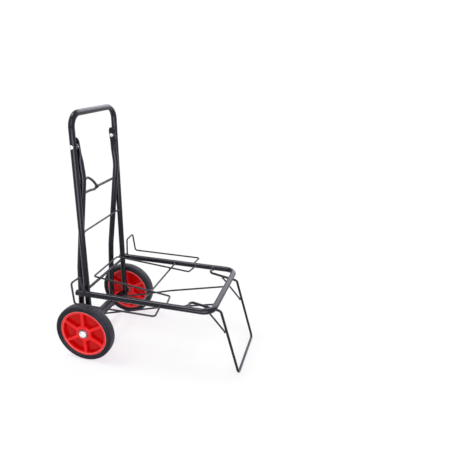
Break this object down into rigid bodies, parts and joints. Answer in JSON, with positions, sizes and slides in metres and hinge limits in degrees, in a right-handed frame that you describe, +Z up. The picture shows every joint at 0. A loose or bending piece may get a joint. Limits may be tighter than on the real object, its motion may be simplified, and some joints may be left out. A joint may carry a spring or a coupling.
{
  "type": "hand cart",
  "caption": "Folding hand cart: tube handle frame on spoked wheels, with a hinged tube-and-wire load platform, folding wire leg and wire stays.",
  "frame": {"origin": "on the floor, under the middle of the cart's box, with the platform unfolded", "axes": "+X forward, from the wheels to the leg; +Y to the cart's left, along the axle; +Z up"},
  "size_m": [0.5198, 0.3646, 0.684],
  "materials": {
    "black_paint": "glossy black enamel on steel tube",
    "dark_wire": "dark enamel on steel wire",
    "bright_zinc": "bright plated steel",
    "red_plastic": "glossy moulded red plastic",
    "tyre_rubber": "charcoal rubber",
    "black_plastic": "black moulded plastic",
    "grey_plastic": "grey moulded plastic",
    "white_nylon": "natural nylon"
  },
  "bodies": {
    "frame": {"handle_tube": "black_paint", "rear_tube_left": "black_paint", "rear_tube_right": "black_paint", "handle_cross_wire": "dark_wire", "rear_cross_wire": "dark_wire", "cargo_hook": "dark_wire", "top_bolt_left": "bright_zinc", "top_bolt_right": "bright_zinc", "top_nut_left": "bright_zinc", "top_nut_right": "bright_zinc", "top_washer_left": "bright_zinc", "top_washer_right": "bright_zinc", "axle_rod": "black_paint", "wheel_spacer_left": "black_plastic", "wheel_spacer_right": "black_plastic", "hub_cap_left": "bright_zinc", "hub_cap_right": "bright_zinc", "link_plate_left": "black_paint", "link_plate_right": "black_paint", "foot_rod": "black_paint", "foot_sleeve": "grey_plastic", "pivot_rod": "black_paint", "pivot_bush_left": "black_plastic", "pivot_bush_right": "black_plastic", "handle_plug_left": "black_plastic", "handle_plug_right": "black_plastic", "rear_plug_left": "black_plastic", "rear_plug_right": "black_plastic"},
    "platform": {"platform_tube": "black_paint", "platform_plug_left": "black_plastic", "platform_plug_right": "black_plastic", "inner_loop": "dark_wire", "mid_cross_wire": "dark_wire", "side_guard_left": "dark_wire", "side_guard_right": "dark_wire"},
    "leg": {"leg_wire": "black_paint", "leg_cross_wire": "dark_wire", "leg_brace_left": "dark_wire", "leg_brace_right": "dark_wire", "leg_collar_left": "black_plastic", "leg_collar_right": "black_plastic"},
    "stays": {"stay_left": "dark_wire", "stay_right": "dark_wire"},
    "wheel_left": {"tyre_left": "tyre_rubber", "rim_left": "red_plastic", "wheel_bush_left": "white_nylon"},
    "wheel_right": {"tyre_right": "tyre_rubber", "rim_right": "red_plastic", "wheel_bush_right": "white_nylon"}
  },
  "joints": [
    {"name": "platform_fold", "type": "hinge", "parent": "frame", "child": "platform", "pos_m": [-0.17488, 0, 0.203], "axis": [0, -1, 0], "range_deg": [0, 83]},
    {"name": "leg_fold", "type": "hinge", "parent": "platform", "child": "leg", "pos_m": [0.12212, 0, 0.2035], "axis": [0, 1, 0], "range_deg": [0, 113.1]},
    {"name": "stay_fold", "type": "hinge", "parent": "frame", "child": "stays", "pos_m": [-0.17488, 0, 0.085], "axis": [0, -1, 0], "range_deg": [0, 61.7]},
    {"name": "wheel_left_spin", "type": "hinge", "parent": "frame", "child": "wheel_left", "pos_m": [-0.17488, 0.1327, 0.085], "axis": [0, 1, 0], "continuous": true},
    {"name": "wheel_right_spin", "type": "hinge", "parent": "frame", "child": "wheel_right", "pos_m": [-0.17488, -0.1327, 0.085], "axis": [0, 1, 0], "continuous": true}
  ],
  "couplings": [
    {"joint": "leg_fold", "follows": "platform_fold", "ratio": 1.3622},
    {"joint": "stay_fold", "follows": "platform_fold", "ratio": 0.7429}
  ]
}
